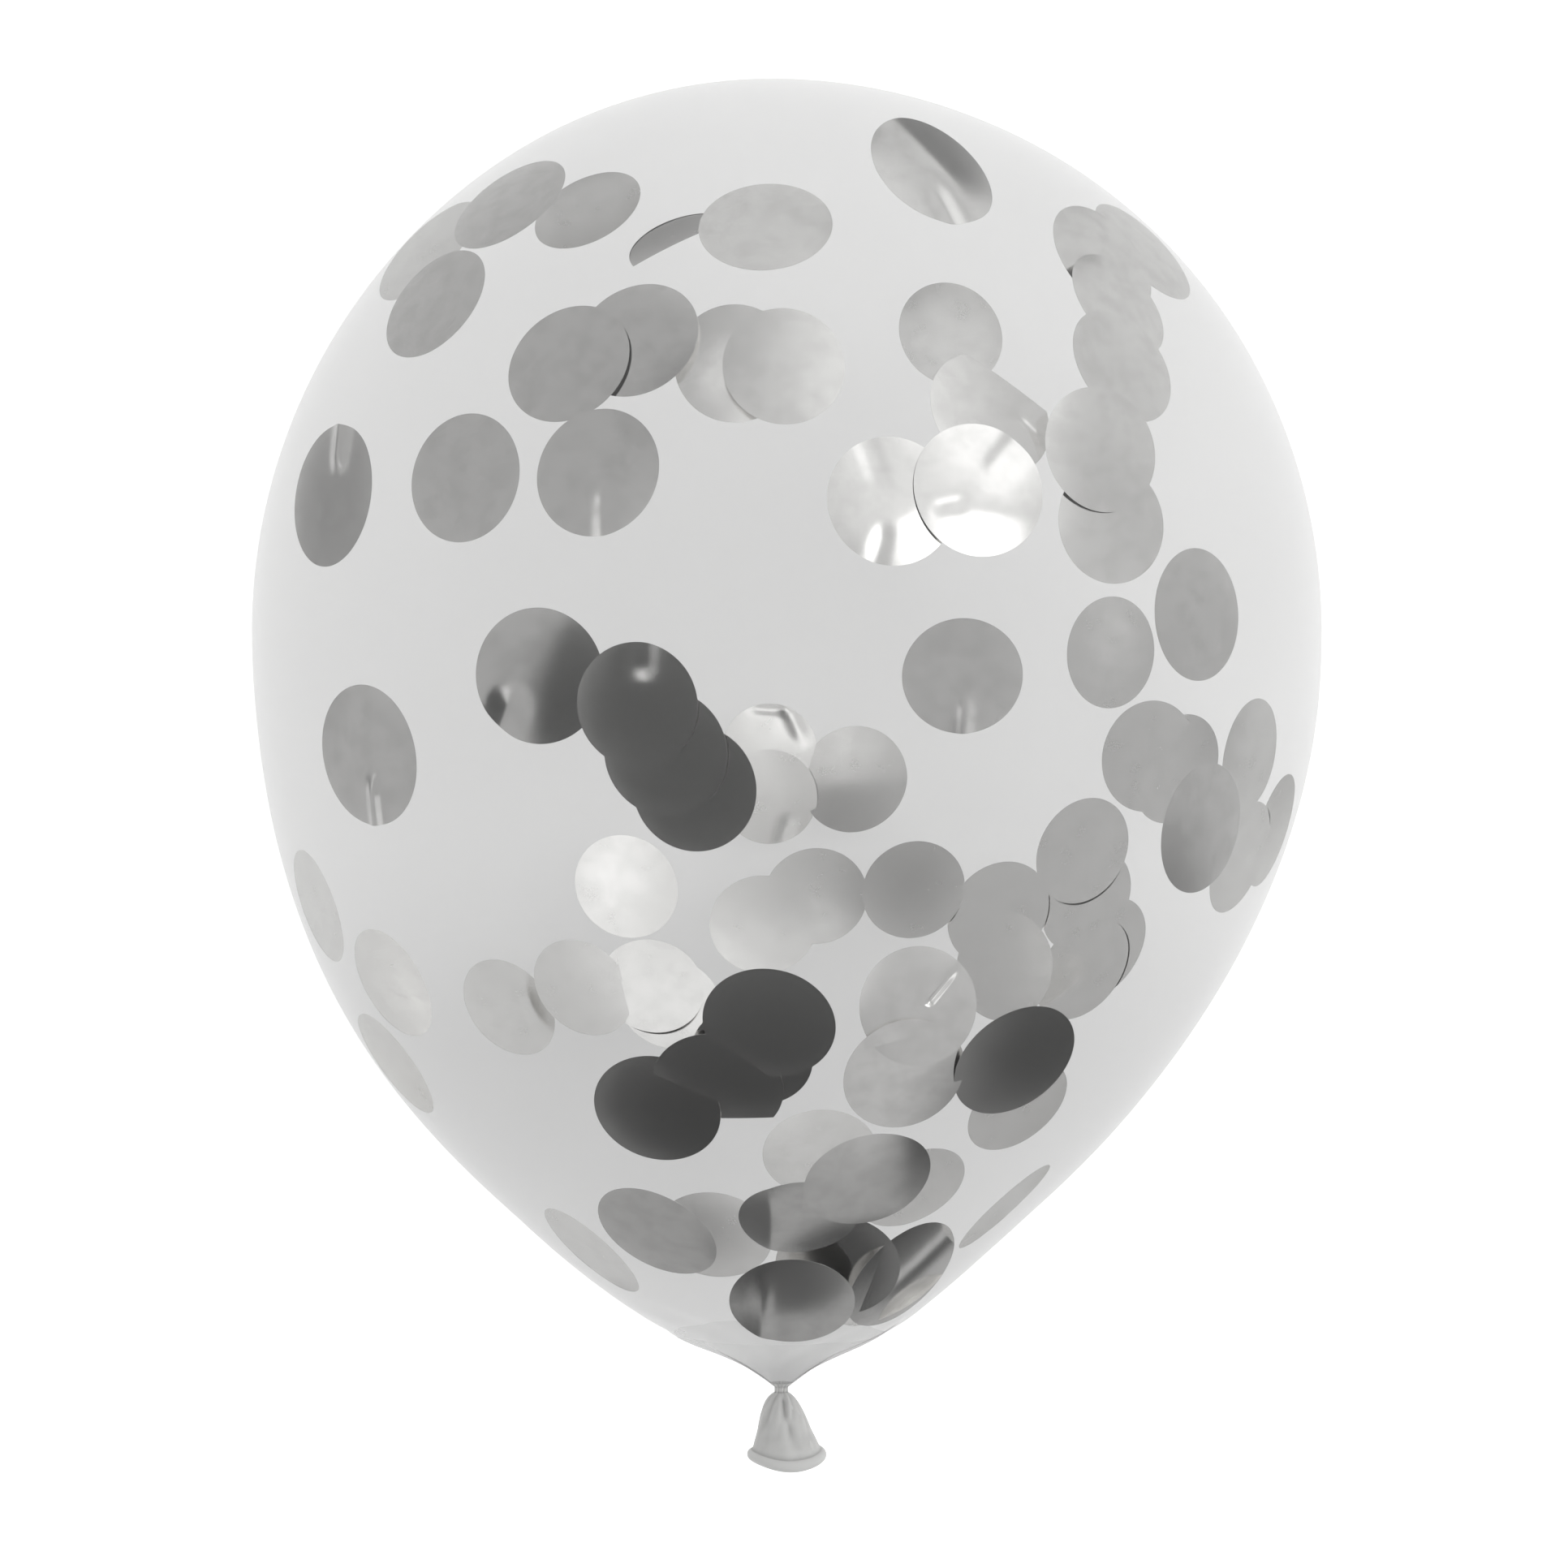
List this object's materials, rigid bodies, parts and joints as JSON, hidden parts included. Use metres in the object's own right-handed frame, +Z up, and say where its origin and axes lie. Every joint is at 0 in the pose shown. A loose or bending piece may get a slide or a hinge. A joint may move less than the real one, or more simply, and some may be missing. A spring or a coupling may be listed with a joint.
{
  "type": "confetti balloon",
  "caption": "Clear latex party balloon, blown up and tied, lying on its side, with round silver foil confetti sealed inside.",
  "frame": {"origin": "on the surface that the balloon lies on, under the middle of its length and width", "axes": "+Y along the balloon's long axis towards its crown, with the tail at -Y; +Z up, away from the resting patch"},
  "size_m": [0.28, 0.364, 0.278],
  "materials": {
    "clear_latex": "clear, slightly smoky stretched latex with a soft sheen, thicker and cloudier at the tail",
    "silver_foil": "metallised silver confetti foil, glossy and faintly creased"
  },
  "bodies": {
    "root": {"balloon": "clear_latex"}
  },
  "joints": []
}
